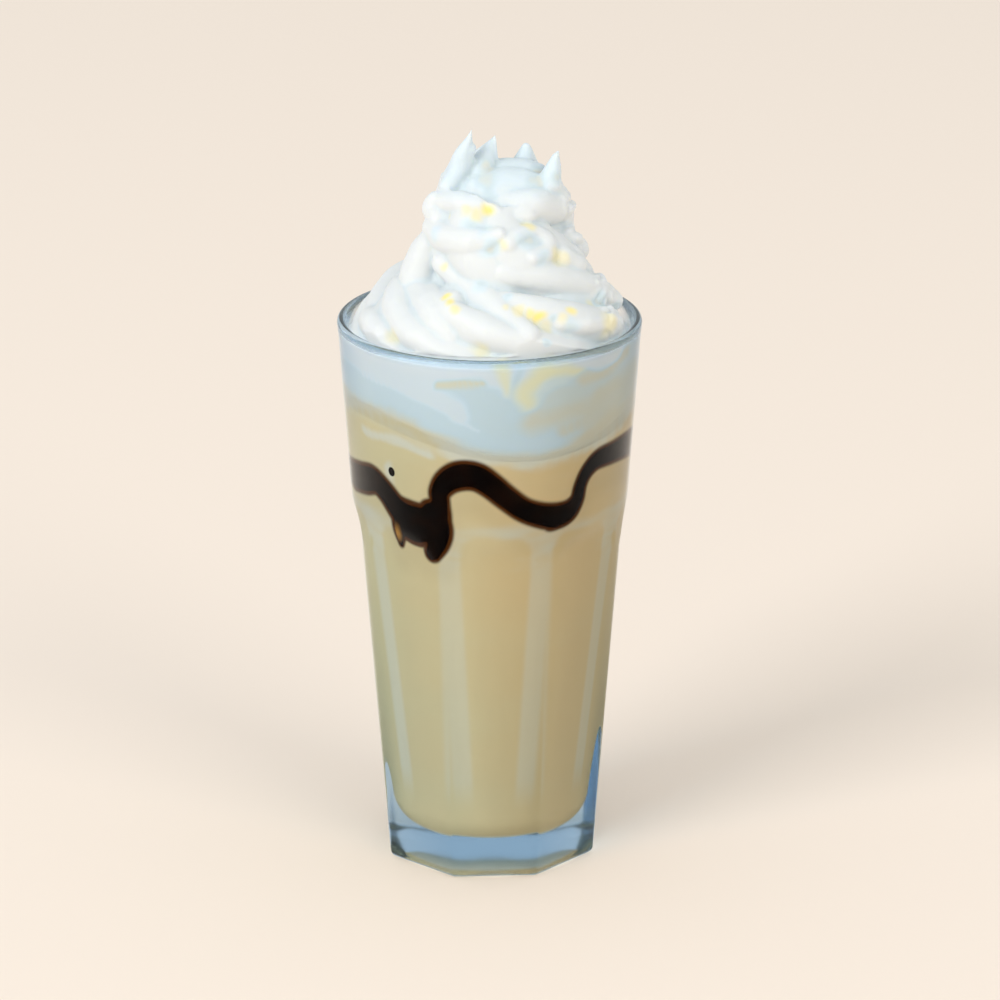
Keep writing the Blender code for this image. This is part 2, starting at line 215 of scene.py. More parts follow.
edge_colour = node(
    tree, "ShaderNodeMix", {"data_type": "RGBA"}, Factor=blue.outputs[0], _6=(1, 1, 1, 1), _7=linear(EDGE_BLUE)
)
tree.links.new(edge_colour.outputs[2], shader.inputs["Base Color"])
clear = node(tree, "ShaderNodeMapRange", smooth, Value=edge_on, _1=0.8, _2=1.0, _3=1.0, _4=0.35)
shader.inputs["Transmission Weight"].default_value = 1
tree.links.new(clear.outputs[0], shader.inputs["Transmission Weight"])
foot_wavy = node(tree, "ShaderNodeMapRange", Value=above, _1=15 * MM, _2=28 * MM, _3=FOOT_WAVY, _4=GLOSS)
lip_wavy = node(tree, "ShaderNodeMapRange", Value=above, _1=157 * MM, _2=161 * MM, _4=LIP_WAVY)
wavy = node(tree, "ShaderNodeMath", _0=foot_wavy.outputs[0], _1=lip_wavy.outputs[0])
tree.links.new(wavy.outputs[0], shader.inputs["Roughness"])
lamp_ray = node(tree, "ShaderNodeLightPath").outputs["Is Shadow Ray"]
let_through = node(tree, "ShaderNodeBsdfTransparent", Color=linear("#FCFDFD"))  # so that light gets in
glazed = node(tree, "ShaderNodeMixShader", _0=lamp_ray, _1=shader.outputs[0], _2=let_through.outputs[0])
tree.links.new(glazed.outputs[0], tree.nodes["Material Output"].inputs["Surface"])
tint = node(tree, "ShaderNodeVolumeAbsorption", Color=linear(GLASS_TINT), Density=TINT_DENSITY)
tree.links.new(tint.outputs[0], tree.nodes["Material Output"].inputs["Volume"])
tumbler.data.materials.append(soda_lime)
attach(tumbler, "root")
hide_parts("glass")


# ---- Iced coffee ----
# Coffee shaken with milk over crushed ice: opaque and pale brown. It fills the glass up to the cream, which
# has sunk into it in broad streaks along the wall.

TOUCH = 0.12 * MM  # how far the contents reach into the glass, so that they wet it
WALL_RADIUS_MM = 38.5  # turns an azimuth into millimetres along the wall
BOUNDARY_MEAN = 139.1 * MM  # of the height at the wall where coffee meets cream
BOUNDARY_WAVES = ((1.9 * MM, -132), (2.9 * MM, -132), (1.4 * MM, -152))  # its waves: height, and phase in degrees
BOUNDARY_MIDDLE = 128 * MM  # its height on the axis, where the cream has sunk the deepest
COFFEE_PALE = "#D6C69B"
COFFEE_DEEP = "#DCBD8B"
ARCH_TOP = 107.8  # mm, of the panels as seen on the coffee
ARCH_ROUND = 6
EDGE_HALF_WIDTH = 3
EDGE_PAINTED_LIGHT = 0.13  # painted light: how much paler the coffee is painted behind each pressed edge, where the thick glass gathers light
KEY_SIDE_PAINTED_LIGHT = 0.4  # and how much more so on the key light's side
# painted light: how much paler the coffee's underside is painted, where little light reaches it
UNDERSIDE_PAINTED_LIGHT = 0.3
MILK_BEIGE = "#D8D1BC"
CREAM_SHADE = "#CCD9DD"
CREAM_BRIGHT = "#D5E0E5"
CREAM_WHITE = "#DDE0E0"
WARM_YELLOW = "#F4E391"
SAUCE_STAIN_AND_SHADOW = "#4A2408"
STAIN_WIDTH = 1.1  # mm, of the brown edge that the sauce has bled into the coffee
SHADOW_BROWN = 0.07  # painted shadow: how much browner the coffee is painted just below the sauce
SHADOW_WIDTH = 6
SHADOW_BELOW = 5

# Chocolate sauce on the wall: azimuth in degrees, height in mm and half width in mm along each string of it.
SAUCE_BAND = (
    (-81, 117.5, 4.6), (-68, 119, 4.6), (-59, 120.2, 4.3), (-52, 118, 4.1), (-45, 113.8, 4.5),
    (-38, 111, 6.2), (-31, 110.6, 6.3), (-24.8, 113, 4.8), (-22.4, 117.5, 3.1), (-22.2, 121.4, 3.1),
    (-18.5, 125, 3.7), (-12.6, 127.2, 4.3), (-6, 127.2, 4.2), (0, 124.8, 3.8), (7.6, 120.4, 3.5),
    (14.7, 116.7, 3.4), (22.5, 114.4, 3.6), (30.8, 113.2, 3.9), (37.4, 114, 3.5), (41.6, 117, 2.6),
    (43, 121.3, 2.3), (46, 125, 2.5), (52, 127.7, 3.0), (62, 128, 3.3), (76, 127.5, 3.8), (92, 125.5, 4.0),
    (107, 121, 3.6), (120, 115.5, 3.4), (134, 113, 3.9), (147, 115, 3.2), (156, 120.5, 2.6),
    (167, 125.5, 3.1), (181, 127.6, 3.9), (195, 125.5, 3.7), (207, 120, 3.4), (219, 115, 3.6),
    (233, 113, 4.1), (247, 115.5, 3.5), (260, 117.5, 3.9), (279, 117.5, 4.6),
)
SAUCE_RUNS = (
    ((-26, 114, 4.8), (-24.3, 110, 5.0), (-24.5, 106, 4.0), (-26.5, 101.9, 2.4)),
    ((-43.5, 109.5, 3.6), (-45, 106, 2.2), (-45.5, 102.6, 1.0)),
    ((29, 112, 3.0), (31, 111, 1.9)),
    ((134, 111, 3.2), (136, 104.5, 2.2)),
    ((232, 111, 3.4), (230, 106.5, 2.6), (231, 101.5, 2.0)),
)

# Streaks of cream on the wall, in the order in which they were drawn down: how white, how yellow, half width
# and softness in mm, and the azimuths and heights that each runs through.
STREAKS = (
    (0.28, 0.0, 3.0, 3.5,
     ((-82, 141), (-60, 143), (-32, 140.5), (-15, 136), (5, 133.5), (25, 132.5), (50, 134), (80, 139))),
    (0.10, 0.05, 1.8, 2.4, ((-74, 138.5), (-47, 140.5), (-32, 139.5), (-22, 136))),
    (0.36, 0.0, 1.4, 2.4, ((-60, 134.6), (-45, 135), (-37, 134.4), (-26, 132.6))),
    (0.64, 0.0, 3.6, 3.0,
     ((-80, 147), (-55, 149), (-34, 147), (-21, 143.5), (-10, 140.8), (1, 138.4), (13, 137.4), (26, 138), (37, 141))),
    (0.60, 0.0, 6.0, 3.0, ((-16, 149.5), (-2, 149), (7, 145))),
    (0.92, 0.0, 3.4, 1.8, ((-82, 156), (-60, 156.5), (-44, 155.8), (-30, 153), (-20, 149.7), (-12, 146.8))),
    (0.92, 0.0, 0.6, 0.8, ((-60, 152.6), (-44, 152.4), (-30, 150.3), (-20, 146.8), (-12, 143.9), (-4, 142))),
    (0.96, 0.0, 4.0, 2.0, ((-80, 161), (-40, 161), (-15, 159.5), (0, 157.8), (10, 159))),
    (0.34, 0.12, 1.2, 1.6, ((-20, 154), (-13, 154.4), (-2, 155))),
    (0.92, 0.4, 1.6, 1.8, ((5.5, 160), (7.7, 156), (9.4, 152.5))),
    (0.62, 0.0, 1.4, 1.6, ((13, 161), (12.5, 156), (11.5, 151), (9, 146))),
    (0.92, 0.5, 2.8, 2.6, ((15.5, 150.5), (18.5, 154.5), (22.5, 157), (29, 158.4), (36, 158.5))),
    (0.75, 0.1, 2.2, 3.0, ((21, 150), (25, 152.5), (31, 154))),
    (0.34, 0.0, 3.2, 3.4, ((19, 143.5), (30, 146), (45, 147), (60, 148), (80, 150))),
    (0.5, 0.0, 2.4, 3.0, ((24, 148), (34, 150), (43, 150))),
    (0.32, 0.0, 1.8, 2.4, ((40, 154), (52, 155.5), (66, 158))),
    (1.0, 0.0, 2.6, 1.8, ((31, 161.8), (40, 161), (50, 159.5), (58, 160))),
    (0.36, 0.0, 2.0, 2.6, ((33, 140.5), (50, 143), (66, 147))),
    (0.66, 0.0, 3.5, 3.0, ((92, 147), (112, 145), (130, 140.5), (148, 137.5), (166, 139))),
    (0.92, 0.0, 3.0, 2.2, ((95, 156), (120, 153), (138, 148), (152, 143.5))),
    (0.32, 0.1, 1.5, 1.6, ((140, 154.5), (152, 152), (160, 149))),
    (0.90, 0.3, 2.0, 2.0, ((170, 154), (178, 151), (184, 147.5))),
    (0.62, 0.0, 3.6, 3.0, ((180, 147), (202, 145.5), (218, 141), (236, 138), (252, 140))),
    (0.92, 0.0, 3.0, 2.2, ((188, 155), (212, 153.5), (230, 149), (246, 145))),
    (0.30, 0.1, 1.8, 2.0, ((226, 154), (240, 152), (250, 149.5))),
    (0.36, 0.0, 1.4, 2.4, ((200, 136), (216, 134), (228, 131))),
    (0.36, 0.0, 1.4, 2.4, ((100, 137), (118, 134), (132, 131.5))),
    (0.26, 0.0, 1.8, 1.8, ((-48.2, 125.4), (-46.6, 123.6))),
)
STREAK_BLUR = 1.6  # how much softer all of them are


def boundary_height(azimuth, share):
    """Where coffee meets cream, at a share of the way from the axis to the wall."""
    wall = BOUNDARY_MEAN
    for harmonic, (size, phase) in enumerate(BOUNDARY_WAVES, 1):
        wall = wall + size * np.cos(harmonic * azimuth - math.radians(phase))
    return BOUNDARY_MIDDLE + (wall - BOUNDARY_MIDDLE) * share**2


def fine_path(stops, per_stop=8):
    """A smooth curve through stops, as rows of distance along the wall, height and half width, in mm."""
    stops = np.array(stops, float)
    stops[:, 0] = np.radians(stops[:, 0]) * WALL_RADIUS_MM
    padded = np.vstack([2 * stops[0] - stops[1], stops, 2 * stops[-1] - stops[-2]])
    t = np.linspace(0, 1, per_stop, endpoint=False)[:, None]
    parts = []
    for a, b, c, d in zip(padded, padded[1:], padded[2:], padded[3:]):
        parts.append(0.5 * (2 * b + (c - a) * t + (2 * a - 5 * b + 4 * c - d) * t**2 + (3 * b - a - 3 * c + d) * t**3))
    return np.vstack([*parts, stops[-1:]])


def distance_to(path, along, height):
    """Each point's distance in mm from a path on the wall, less the path's own half width there, if it has one."""
    round_trip = 2 * math.pi * WALL_RADIUS_MM
    nearest = np.full(len(along), 1e9)
    for row in path:
        across = (along - row[0] + round_trip / 2) % round_trip - round_trip / 2
        nearest = np.minimum(nearest, np.hypot(across, height - row[1]) - sum(row[2:]))
    return nearest


def noise_at(points, scale, seed):
    """Smooth noise from -1 to 1. scale is the size in mm of its lumps."""
    shift = Vector((seed * 17.3, seed * 5.1, seed * 9.7))
    factor = 1000 / scale
    return np.array([noise.noise(Vector(p) * factor + shift) for p in points.tolist()])


def wall_streaks(points):
    """How white and how fatty the drink is at each point."""
    azimuth = np.arctan2(points[:, 0], -points[:, 1])
    along, height = azimuth * WALL_RADIUS_MM, points[:, 2] / MM
    # Each streak wavers by a few millimetres.
    drag = noise_at(points * (1, 1, 2.2), 16, 1) * 2.2 + noise_at(points * (1, 1, 2.5), 6, 2) * 0.9
    height = height + drag
    along = along + noise_at(points * (1, 1, 2.0), 14, 3) * 2.5
    # Round them cream fades into coffee, and it's thinner at the front right.
    edge = boundary_height(azimuth, 1.0) / MM
    thin = smooth_step((np.degrees(azimuth) - 12) / 16) * (1 - smooth_step((np.degrees(azimuth) - 75) / 20))
    white = (0.64 - 0.3 * thin) * smooth_step((height - edge + 7) / 12)
    white += (0.3 - 0.1 * thin) * smooth_step((height - edge - 6) / 12)
    white += 0.07 * noise_at(points * (1, 1, 3), 7, 4)
    yellowness = np.zeros(len(points))
    for level, yellow_share, half_width, softness, stops in STREAKS:
        stroke = fine_path(stops, 5)
        blur = softness * STREAK_BLUR
        weight = 1 - smooth_step((distance_to(stroke, along, height) - half_width + blur / 2) / blur)
        white += (level - white) * weight
        yellowness += (yellow_share - yellowness) * weight
    return white, yellowness


def store(thing, name, values):
    thing.data.attributes.new(name, "FLOAT", "POINT").data.foreach_set("value", np.asarray(values, np.float32))


def points_of(thing):
    flat = np.empty(len(thing.data.vertices) * 3)
    thing.data.vertices.foreach_get("co", flat)
    return flat.reshape(-1, 3)


rings = [place(azimuths, r + TOUCH, z - TOUCH) for r, z in cavity_floor()]
top = boundary_height(azimuths, 1.0)
streaky = 96 * MM  # above this the rings are close together, for the streaks
for height in np.linspace(CAVITY_WALL_FROM, streaky, 18):
    rings.append(place(azimuths, cavity_radius(height) + TOUCH, height))
for share in np.linspace(0, 1, 84)[1:]:
    height = streaky + (top - streaky) * share
    rings.append(place(azimuths, cavity_radius(height) + TOUCH, height))
for share in (0.97, 0.85, 0.65, 0.4, 0.15, 0.03):
    reach = share * (cavity_radius(top) + TOUCH)
    rings.append(place(azimuths, reach, boundary_height(azimuths, share)))
coffee = skin("iced_coffee", rings)

# Its cream by the wall, the brown that the sauce has bled into it, and a faint painted shadow below the sauce.
points = points_of(coffee)
near_top = points[:, 2] > streaky - 3 * MM
white, yellowness, stain_and_shadow = (np.zeros(len(points)) for _ in range(3))
white[near_top], yellowness[near_top] = wall_streaks(points[near_top])
azimuth, height = np.arctan2(points[:, 0], -points[:, 1]), points[:, 2] / MM
sauce_paths = [fine_path(stops) for stops in (SAUCE_BAND, *SAUCE_RUNS)]
spot = (azimuth[near_top] * WALL_RADIUS_MM, height[near_top])
gap_to_sauce = np.min([distance_to(path, *spot) for path in sauce_paths], 0)
gap_to_shadow = np.min([distance_to(path - (0, SHADOW_BELOW, 0), *spot) for path in sauce_paths], 0)
sauce_shadow = SHADOW_BROWN * (1 - smooth_step(gap_to_shadow / SHADOW_WIDTH))
stain_and_shadow[near_top] = np.maximum(1 - smooth_step(gap_to_sauce / STAIN_WIDTH), sauce_shadow)

# Painted light: the coffee is painted paler behind the glass's pressed edges and round its arches, where the thick
# glass gathers light, and paler still on the key light's side.
wall = cavity_radius(points[:, 2]) / MM
across = np.abs((azimuth - PANEL_TURN + PANEL_ANGLE / 2) % PANEL_ANGLE - PANEL_ANGLE / 2) * wall
over_side = across - (PANEL_ANGLE / 2 * wall - EDGE_HALF_WIDTH - ARCH_ROUND)
over_top = height - (ARCH_TOP - ARCH_ROUND)
outside = np.hypot(np.maximum(over_side, 0), np.maximum(over_top, 0))
outside += np.minimum(np.maximum(over_side, over_top), 0) - ARCH_ROUND
edge_light = smooth_step((outside + 1.2) / 2.4) * (1 - smooth_step((height - ARCH_TOP - 1) / 5))
key_side = smooth_step((-50 - np.degrees(azimuth)) / 8) * smooth_step((95 + np.degrees(azimuth)) / 8)
edge_light *= 1 + KEY_SIDE_PAINTED_LIGHT * key_side
white += EDGE_PAINTED_LIGHT * edge_light * (1 - smooth_step((30 - height) / 14))
# Painted light on the underside, which little light reaches.
white += UNDERSIDE_PAINTED_LIGHT * smooth_step((11.5 - height) / 2)
store(coffee, "white", white)
store(coffee, "yellowness", yellowness)
store(coffee, "stain_and_shadow", stain_and_shadow)


def drink_colour(tree):
    """Coffee at 0 to cream at 1, by way of grey-beige and the blue-white of thin milk."""
    white = node(tree, "ShaderNodeAttribute", {"attribute_name": "white"}).outputs["Fac"]
    yellowness = node(tree, "ShaderNodeAttribute", {"attribute_name": "yellowness"}).outputs["Fac"]
    where = node(tree, "ShaderNodeTexCoord").outputs["Object"]
    stretch = node(tree, "ShaderNodeMapping", Vector=where, Scale=(1, 1, 2.5)).outputs[0]
    cloud = node(tree, "ShaderNodeTexNoise", Vector=stretch, Scale=1000 / 45, Detail=2.0).outputs["Fac"]
    # The coffee goes from pale towards -X to a deeper colour towards +X, unevenly.
    side = node(tree, "ShaderNodeSeparateXYZ", Vector=where).outputs["X"]
    left_to_right = node(tree, "ShaderNodeMapRange", Value=side, _1=-26 * MM, _2=14 * MM).outputs[0]
    uneven = node(tree, "ShaderNodeMapRange", Value=cloud, _1=0.3, _2=0.7, _3=-0.12, _4=0.12).outputs[0]
    depth = node(tree, "ShaderNodeMath", {"use_clamp": True}, _0=left_to_right, _1=uneven).outputs[0]
    body = node(
        tree, "ShaderNodeMix", {"data_type": "RGBA"}, Factor=depth, _6=linear(COFFEE_PALE), _7=linear(COFFEE_DEEP)
    )
    ramp = node(tree, "ShaderNodeValToRGB", Fac=white)
    stops = ((0.3, MILK_BEIGE), (0.62, CREAM_SHADE), (0.8, CREAM_BRIGHT), (1.0, CREAM_WHITE))
    while len(ramp.color_ramp.elements) < len(stops):
        ramp.color_ramp.elements.new(0.5)
    for element, (position, colour) in zip(ramp.color_ramp.elements, stops):
        element.position = position
        element.color = linear(colour)
    into = node(tree, "ShaderNodeMapRange", {"interpolation_type": "SMOOTHSTEP"}, Value=white, _2=0.3)
    mixed = node(
        tree, "ShaderNodeMix", {"data_type": "RGBA"}, Factor=into.outputs[0], _6=body.outputs[2], _7=ramp.outputs[0]
    )
    yellow_share = node(tree, "ShaderNodeMix", {"data_type": "RGBA"}, Factor=yellowness, _6=mixed.outputs[2], _7=linear(WARM_YELLOW))
    return yellow_share.outputs[2]


# Milky coffee: fat and air scatter light just under its surface, so it looks soft and evenly opaque.
milky_coffee, tree, shader = new_material("milky_coffee")
colour = drink_colour(tree)
# The sauce's bled stain, and its painted shadow below it.
stain_and_shadow_share = node(tree, "ShaderNodeAttribute", {"attribute_name": "stain_and_shadow"}).outputs["Fac"]
stained_and_shaded = node(tree, "ShaderNodeMix", {"data_type": "RGBA"}, Factor=stain_and_shadow_share, _6=colour, _7=linear(SAUCE_STAIN_AND_SHADOW))
tree.links.new(stained_and_shaded.outputs[2], shader.inputs["Base Color"])
shader.inputs["Roughness"].default_value = 0.5
shader.inputs["IOR"].default_value = 1.34
shader.inputs["Specular IOR Level"].default_value = 0.0
coffee.data.materials.append(milky_coffee)
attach(coffee, "root")
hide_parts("coffee")


# ---- Chocolate sauce ----
# Thick cocoa syrup, squeezed from a bottle in waves round the inside of the glass before the coffee went in.
# It has slid into a pool and a few drips, and a drop of it hangs beside them.

SAUCE_DEPTH = 0.85  # mm, half its thickness
SAUCE_INSET = 0.35  # mm, from the wall to its middle
SAUCE_INTO_WALL = 0.3 * MM
SAUCE_VOXEL = 0.4 * MM
SAUCE_BLACK = "#060201"
SAUCE_BROWN = "#1A0903"
SAUCE_AMBER = "#B37A2C"
THIN_SPUR = (-46.4, 106.4)  # azimuth in degrees and height in mm of a spur so thin that light comes through
DROP_AT = (-46.4, 124.9)
DROP_HALF = (1.5, 1.7, 0.5)  # mm, half its width, height and depth
DROP_INSET = 0.15


def on_wall(along_mm, height_mm, inset):
    angle = along_mm / WALL_RADIUS_MM
    return place(angle, cavity_radius(height_mm * MM) - inset, height_mm * MM)


def sauce_string(path, closed):
    """A flattened string of sauce along a path on the wall, tapered at its ends unless closed."""
    step = np.gradient(path[:, :2], axis=0)
    step /= np.linalg.norm(step, axis=1)[:, None]
    around = np.linspace(0, 2 * math.pi, 28, endpoint=False)
    made = []
    for k, (along_mm, height_mm, half) in enumerate(path):
        across = np.cos(around) * half
        inset = (SAUCE_INSET + np.sin(around) * SAUCE_DEPTH) * MM
        made.append(on_wall(along_mm - step[k, 1] * across, height_mm + step[k, 0] * across, inset))
    if not closed:
        for end, inward in ((0, 1), (-1, -1)):
            tip, half, way = path[end, :2], path[end, 2], -inward * step[end]
            extra = []
            for bulge in (0.5, 0.8, 0.97):
                size = math.sqrt(1 - bulge**2)
                across = np.cos(around) * half * size
                inset = (SAUCE_INSET + np.sin(around) * SAUCE_DEPTH * size) * MM
                at = tip + way * half * bulge
                along_mm = at[0] - step[end, 1] * across
                extra.append(on_wall(along_mm, at[1] + step[end, 0] * across, inset))
            made = extra[::-1] + made if end == 0 else made + extra
    return made


def fused(name, parts, voxel, passes):
    """Several closed skins melted into one and settled by smoothing."""
    for other in parts:
        other.select_set(True)
    bpy.context.view_layer.objects.active = parts[0]
    with bpy.context.temp_override(active_object=parts[0], selected_editable_objects=parts):
        bpy.ops.object.join()
    whole = parts[0]
    whole.name = whole.data.name = name
    remesh = whole.modifiers.new("melt", "REMESH")
    remesh.mode = "VOXEL"
    remesh.voxel_size = voxel
    remesh.use_smooth_shade = True
    settle = whole.modifiers.new("settle", "SMOOTH")
    settle.factor = 0.5
    settle.iterations = passes
    bpy.context.view_layer.update()
    mesh = bpy.data.meshes.new_from_object(whole.evaluated_get(bpy.context.evaluated_depsgraph_get()))
    mesh.name = name
    whole.modifiers.clear()
    whole.data = mesh
    mesh.shade_smooth()
    return whole


def set_points(thing, points):
    thing.data.vertices.foreach_set("co", points.ravel())
    thing.data.update()


def near(points_mm, spot, radius, core):
    """1 within a core of a spot and 0 one radius beyond it. The core is a share of the radius."""
    return 1 - smooth_step(np.linalg.norm(points_mm - np.array(spot), axis=1) / radius - core)


strings = [skin("sauce_band", sauce_string(sauce_paths[0], True))]
strings += [skin("sauce_run", sauce_string(path, False)) for path in sauce_paths[1:]]
sauce = fused("chocolate_sauce_ring", strings, SAUCE_VOXEL, 3)
points = points_of(sauce)
radius = np.hypot(points[:, 0], points[:, 1])
limit = cavity_radius(points[:, 2]) + SAUCE_INTO_WALL
points[:, :2] *= (np.minimum(radius, limit) / radius)[:, None]
set_points(sauce, points)
spur = on_wall(np.radians(THIN_SPUR[0]) * WALL_RADIUS_MM, THIN_SPUR[1], 0) / MM
upright = (1, 1, 0.55)
patchy = 0.75 + 0.5 * noise_at(points, 2.5, 11)
store(sauce, "thin", patchy * near(points / MM * upright, spur * upright, 2.0, 0.15))

# Cocoa syrup: nearly black, brown where it's thin and amber where light comes through. The glass in front
# carries its gloss.
cocoa_syrup, tree, shader = new_material("cocoa_syrup")
where = node(tree, "ShaderNodeTexCoord").outputs["Object"]
uneven = node(tree, "ShaderNodeTexNoise", Vector=where, Scale=1000 / 9, Detail=2.0).outputs["Fac"]
thin = node(tree, "ShaderNodeMapRange", Value=uneven, _1=0.45, _2=0.8)
brown = node(
    tree,
    "ShaderNodeMix",
    {"data_type": "RGBA"},
    Factor=thin.outputs[0],
    _6=linear(SAUCE_BLACK),
    _7=linear(SAUCE_BROWN),
)
spread = node(tree, "ShaderNodeAttribute", {"attribute_name": "thin"}).outputs["Fac"]
amber = node(tree, "ShaderNodeMix", {"data_type": "RGBA"}, Factor=spread, _6=brown.outputs[2], _7=linear(SAUCE_AMBER))
tree.links.new(amber.outputs[2], shader.inputs["Base Color"])
shader.inputs["Roughness"].default_value = 0.25
shader.inputs["IOR"].default_value = 1.45
shader.inputs["Specular IOR Level"].default_value = 0.0
sauce.data.materials.append(cocoa_syrup)
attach(sauce, "root")
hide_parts("chocolate_sauce")

drop_rings = []
drop_along = np.radians(DROP_AT[0]) * WALL_RADIUS_MM
around = np.linspace(0, 2 * math.pi, 24, endpoint=False)
for bulge in np.linspace(-0.98, 0.98, 15):
    size = math.sqrt(1 - bulge**2)
    across = np.cos(around) * DROP_HALF[0] * size
    inset = (DROP_INSET + np.sin(around) * DROP_HALF[2] * size) * MM
    drop_rings.append(on_wall(drop_along + across, np.full(24, DROP_AT[1] + bulge * DROP_HALF[1]), inset))
sauce_drop = skin("chocolate_sauce_drop", drop_rings)
sauce_drop.data.materials.append(cocoa_syrup)
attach(sauce_drop, "root")


# ---- Whipped cream ----
# Cream whipped stiff with sugar and piped from a bag with a six-toothed nozzle: one ribbed rope, coiled up
# from the glass and torn off in a crown of points. Its foot fills the top of the glass.

CREAM_FOOT = np.array((-1.5, -3.2, 0)) * MM
CREAM_TIP = np.array((3.0, -0.5, 0)) * MM
ROPE_TURNS = 2.55
ROPE_END = math.radians(150)
ROPE_RIBS = 6
RIB_DEPTH = 0.24
RIB_TWIST = 2.6
SAG_AT = 0.77  # share of the rope's length where its ribs have sagged the most
SAG_REACH = 0.15  # and how far that goes each way
SAG_FLATTENS = 0.7
ROPE_STATIONS = (
    (0.00, 24.0, 155.0, 15.5), (0.10, 24.0, 157.5, 15.5), (0.19, 22.0, 159.0, 15.0), (0.30, 24.5, 163.5, 16.0),
    (0.48, 22.5, 161.5, 15.0), (0.58, 17.5, 167.0, 15.5), (0.70, 11.0, 178.0, 16.0), (0.84, 4.0, 188.5, 17.0),
    (0.93, 2.0, 195.5, 18.5), (1.00, 1.0, 201.5, 18.0),
)
# How far in mm each tooth's rib was drawn up as the nozzle left, how far it leans in, and how sharp it is.
CROWN_POINTS = ((18, 0.6, 2.4), (4, 0.85, 2), (2.5, 0.85, 2), (15, 0.8, 1.8), (9, 0.72, 4), (14, 0.4, 3))
# Folds where the nozzle shook or the rope sagged on itself: x, y, z and radius in mm along each.
FOLDS = (
    ((-17, -7.3, 192.1, 2.9), (-12.4, -13.2, 190.3, 4.4), (-5.5, -18.6, 190.4, 4.7),
     (-0.4, -19.4, 191.5, 3.8), (3, -21, 194, 1.8)),
    ((-13.2, -6.5, 199, 2.9), (-7.5, -11, 200, 3.8), (-3.2, -13.1, 200, 2.6)),
    ((-15.3, -5.4, 199.3, 2.6), (-16.7, -4.9, 196.5, 3.2), (-14.7, -9.2, 194.4, 2.6)),
    ((4.4, -6.8, 198.2, 4.1), (11.5, -9.2, 198.6, 5.3), (18.7, -0.8, 195.9, 5)),
    ((5.3, -21.3, 190.3, 2.9), (7.8, -19.2, 192.6, 2.6), (12.4, -14.9, 192.5, 2.6),
     (16.4, -14.4, 190, 3.2), (15.8, -17.1, 187, 3.2), (11.5, -21.8, 186.6, 2.6)),
    ((21.9, -1.6, 186.9, 3.5), (26, 2.5, 182, 3.2)),
    ((20.1, -14, 185.2, 3.5), (24.7, -11.3, 181.7, 3.2)),
    ((-34, 3, 164, 3), (-33.3, -13.4, 165, 4.4), (-29.7, -22.5, 163.4, 4.1)),
    ((-24, 5, 173, 2.6), (-21, -7, 173, 4.8), (-16.3, -25.9, 171.9, 5),
     (-10.6, -32.9, 166.1, 4.1)),
    ((-14.1, -13.9, 183.4, 2.9), (-6.7, -18.3, 177.9, 4.4), (1.9, -28.4, 173, 5),
     (11.5, -36.3, 167.7, 3.8)),
    ((3, -22.3, 182.9, 3.5), (14.3, -20.2, 180.8, 4.7), (27.3, -11.6, 175.5, 4.7), (36.1, -1.8, 168, 2.9)),
    ((18.8, -29.9, 170.5, 2.6), (27.1, -26, 168.4, 3.2), (34.9, -17.7, 167, 2.3)),
    ((-12.1, -4.7, 202.6, 2.6), (-7.8, -1.2, 208.4, 2.9), (-5, -1.9, 213.9, 1.8)),
    ((21.4, 2.3, 188.7, 3.2), (20.5, 0.4, 196.1, 3.2), (18.1, -2.2, 204.3, 2.6)),
    ((-12.1, -11.9, 177.4, 4.1), (-11.3, -8.9, 172.6, 4.1), (-10.6, -27.1, 175.2, 3.5)),
    ((-3, -2, 199.5, 7), (4, -1, 199.5, 8), (11, -1, 199.5, 7.5)),
    ((-2, 3, 202, 6), (5, 5, 201.5, 7.5), (12, 4, 201, 7)),
    ((-3, 0, 205, 4), (-1.5, 3, 209, 3.6), (0.5, 4.3, 213, 1.8)),
    ((17, -2.5, 203, 4), (18.3, -2.7, 208, 2.6), (19, -2.7, 211.5, 1.2)),
    ((9, 9, 204, 4), (10, 9.5, 208, 2.8), (10.5, 9.5, 211, 1.2)),
    ((10.4, -19.2, 189.5, 2.6), (12.9, -16.4, 189.5, 2.6)),
    ((-15, -8, 190, 4), (-18, -7.5, 185, 5), (-20, -8, 179, 5.5), (-21, -9, 173, 5)),
)
